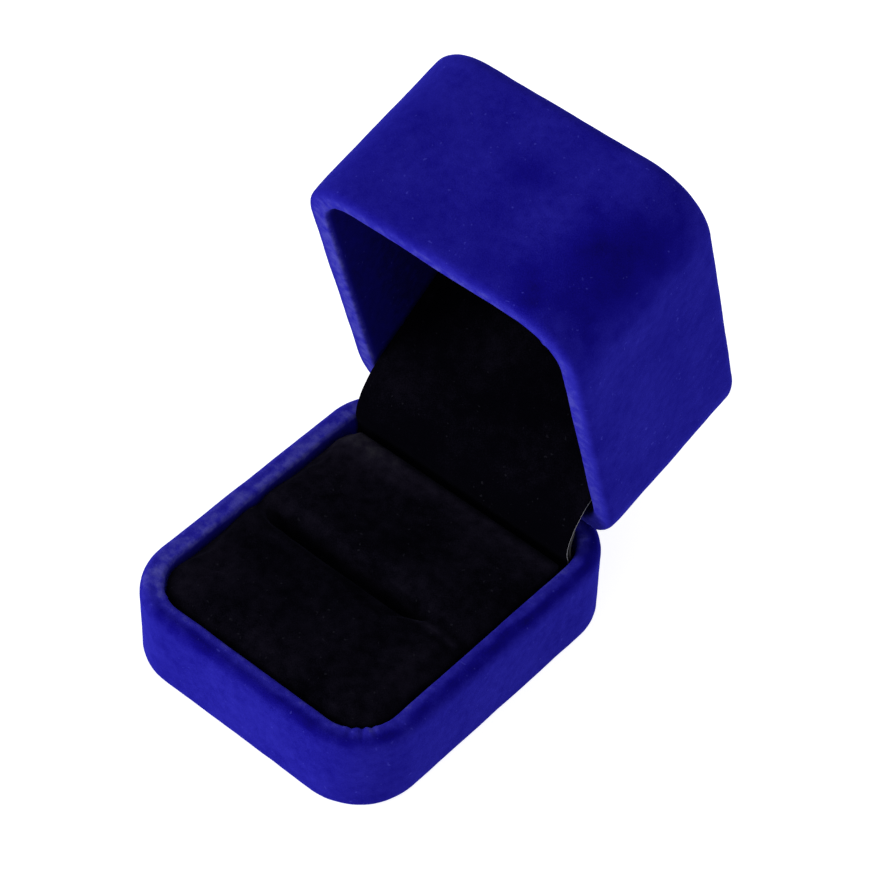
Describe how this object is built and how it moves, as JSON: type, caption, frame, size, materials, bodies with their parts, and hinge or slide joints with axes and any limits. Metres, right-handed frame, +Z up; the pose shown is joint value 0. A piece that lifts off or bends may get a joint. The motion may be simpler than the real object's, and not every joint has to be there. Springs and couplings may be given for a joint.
{
  "type": "ring box",
  "caption": "Velvet ring box standing open on a rear spring hinge, with a slotted black ring pad in the base and a deep hollow lid.",
  "frame": {"origin": "centre of the base's underside, on the surface that the box stands on", "axes": "+X to the right across the hinge, +Y towards the hinge at the rear, +Z up"},
  "size_m": [0.052, 0.0872, 0.079],
  "materials": {
    "blue_velvet": "royal blue velvet, short pile",
    "black_velvet": "black velvet, short pile",
    "shell_plastic": "moulded, plain",
    "foam": "open-cell foam",
    "greyboard": "uncoated grey card",
    "underside_card": "black paper-faced card",
    "hinge_steel": "nickel-plated stamped steel"
  },
  "bodies": {
    "base": {"base_shell": "shell_plastic", "base_velvet": "blue_velvet", "base_bottom_pad": "underside_card", "pad_board": "greyboard", "ring_pad_foam": "foam", "ring_pad_cover": "black_velvet", "hinge_strip_card": "greyboard", "hinge_strip_velvet": "black_velvet", "hinge_base_leaf": "hinge_steel", "hinge_base_rivets": "hinge_steel", "hinge_pin": "hinge_steel", "hinge_spring": "hinge_steel"},
    "lid": {"lid_shell": "shell_plastic", "lid_velvet": "blue_velvet", "lid_ceiling_card": "greyboard", "lid_ceiling_velvet": "black_velvet", "lid_panel_card": "greyboard", "lid_panel_velvet": "black_velvet", "hinge_lid_leaf": "hinge_steel", "hinge_lid_rivets": "hinge_steel"}
  },
  "joints": [
    {"name": "lid_hinge", "type": "hinge", "parent": "base", "child": "lid", "pos_m": [0, 0.02765, 0.01569], "axis": [1, 0, 0], "range_deg": [0, 74.5]}
  ]
}
